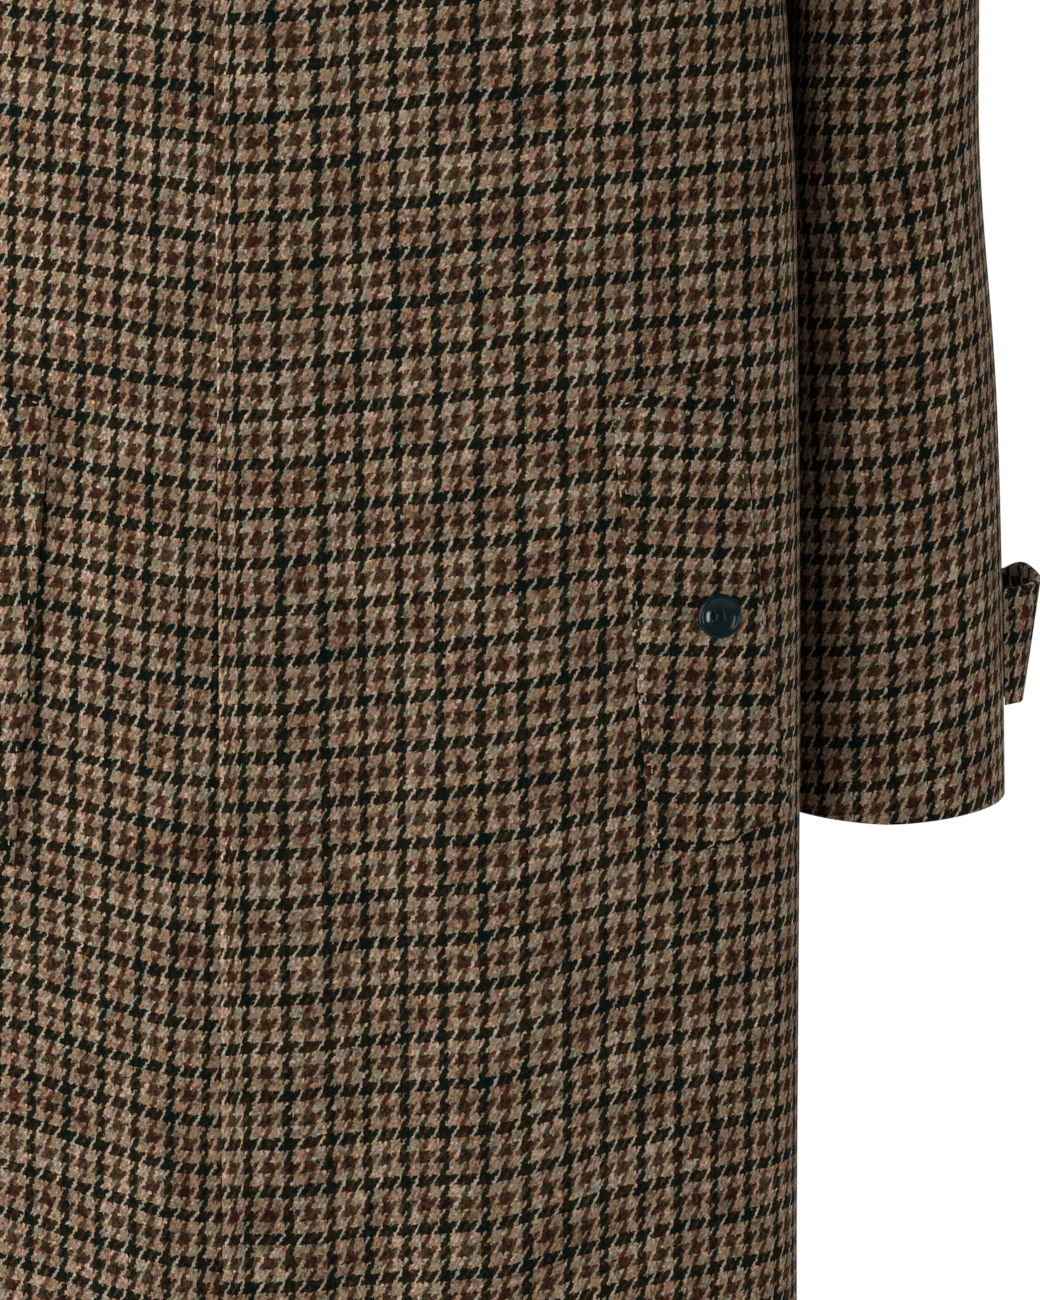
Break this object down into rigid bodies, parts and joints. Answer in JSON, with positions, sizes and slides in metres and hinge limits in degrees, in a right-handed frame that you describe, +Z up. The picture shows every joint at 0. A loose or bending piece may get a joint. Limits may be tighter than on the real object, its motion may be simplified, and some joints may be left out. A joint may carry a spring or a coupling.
{
  "type": "tweed coat",
  "caption": "Raglan overcoat in checked tweed in its worn shape, hollow, with a fly front, slanted buttoned welt pockets, turn-down collar and strapped sleeves.",
  "frame": {"origin": "midway between the two neck points of the shoulder line, where the wearer's shoulders carry the coat", "axes": "+Z up, the front faces -Y, the wearer's left is +X"},
  "size_m": [0.6698, 0.2889, 1.1178],
  "materials": {
    "tweed": "woven wool, gun-club check in navy, brown and tan",
    "button": "polished dark blue-green, raised rim"
  },
  "bodies": {
    "root": {"front_left": "tweed", "front_right": "tweed", "back": "tweed", "sleeve_left_front": "tweed", "sleeve_left_back": "tweed", "sleeve_right_front": "tweed", "sleeve_right_back": "tweed", "collar": "tweed", "welt_left": "tweed", "welt_right": "tweed", "strap_left": "tweed", "strap_right": "tweed", "button_pocket_left": "button", "button_pocket_right": "button", "button_strap_left": "button", "button_strap_right": "button"}
  },
  "joints": []
}
